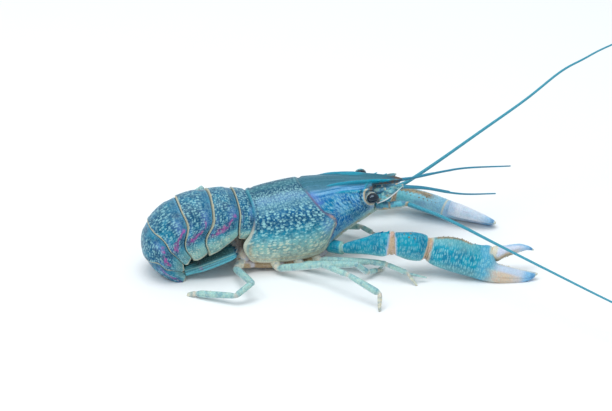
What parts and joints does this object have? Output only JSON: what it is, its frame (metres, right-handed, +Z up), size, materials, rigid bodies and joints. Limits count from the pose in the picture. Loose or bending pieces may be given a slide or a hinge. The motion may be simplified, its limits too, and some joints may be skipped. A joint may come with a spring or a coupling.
{
  "type": "crayfish model",
  "caption": "Life-size still model of a blue crayfish at rest with its tail curled under, long feelers, claws and walking legs.",
  "frame": {"origin": "middle of the bounding footprint at floor level", "axes": "+X from tail to head along the body, +Y the animal's left, +Z up"},
  "size_m": [0.2082, 0.1338, 0.0623],
  "materials": {
    "shell": "deep blue shell with pale dots, satin gloss",
    "tail_shell": "blue shell plates with cream rims and violet streaks, satin gloss",
    "claw_shell": "turquoise shell with fine pale bumps, satin gloss",
    "limb_shell": "pale translucent teal shell, satin",
    "feeler": "ringed blue-teal feelers, satin",
    "soft_joint": "cream soft underside and joint membranes, matte",
    "eye_gloss": "black, high gloss"
  },
  "bodies": {
    "root": {"carapace": "shell", "thorax_underside": "soft_joint", "abdomen_1": "tail_shell", "abdomen_2": "tail_shell", "abdomen_3": "tail_shell", "abdomen_4": "tail_shell", "abdomen_5": "tail_shell", "abdomen_6": "tail_shell", "telson": "tail_shell", "uropod_R_inner": "tail_shell", "uropod_R_outer": "tail_shell", "uropod_L_inner": "tail_shell", "uropod_L_outer": "tail_shell", "eye_R": "eye_gloss", "eye_L": "eye_gloss", "eye_stalk_R": "limb_shell", "eye_stalk_L": "limb_shell", "antennule_R": "feeler", "antennule_L": "feeler", "antenna_R_stalk": "limb_shell", "antenna_L_stalk": "limb_shell", "antenna_R_scale": "limb_shell", "antenna_L_scale": "limb_shell", "antenna_R_whip_near": "feeler", "antenna_R_whip_far": "feeler", "antenna_L_whip_near": "feeler", "antenna_L_whip_far": "feeler", "maxilliped_R": "limb_shell", "maxilliped_L": "limb_shell", "arm_R_base": "limb_shell", "arm_R_merus": "claw_shell", "arm_R_carpus": "claw_shell", "claw_R_palm": "claw_shell", "claw_R_finger": "claw_shell", "arm_L_base": "limb_shell", "arm_L_merus": "claw_shell", "arm_L_carpus": "claw_shell", "claw_L_palm": "claw_shell", "claw_L_finger": "claw_shell", "leg_R2_upper": "limb_shell", "leg_R2_lower": "limb_shell", "leg_R3_upper": "limb_shell", "leg_R3_lower": "limb_shell", "leg_R4_upper": "limb_shell", "leg_R4_lower": "limb_shell", "leg_R5_upper": "limb_shell", "leg_R5_lower": "limb_shell", "leg_L2_upper": "limb_shell", "leg_L2_lower": "limb_shell", "leg_L3_upper": "limb_shell", "leg_L3_lower": "limb_shell", "leg_L4_upper": "limb_shell", "leg_L4_lower": "limb_shell", "leg_L5_upper": "limb_shell", "leg_L5_lower": "limb_shell"}
  },
  "joints": []
}
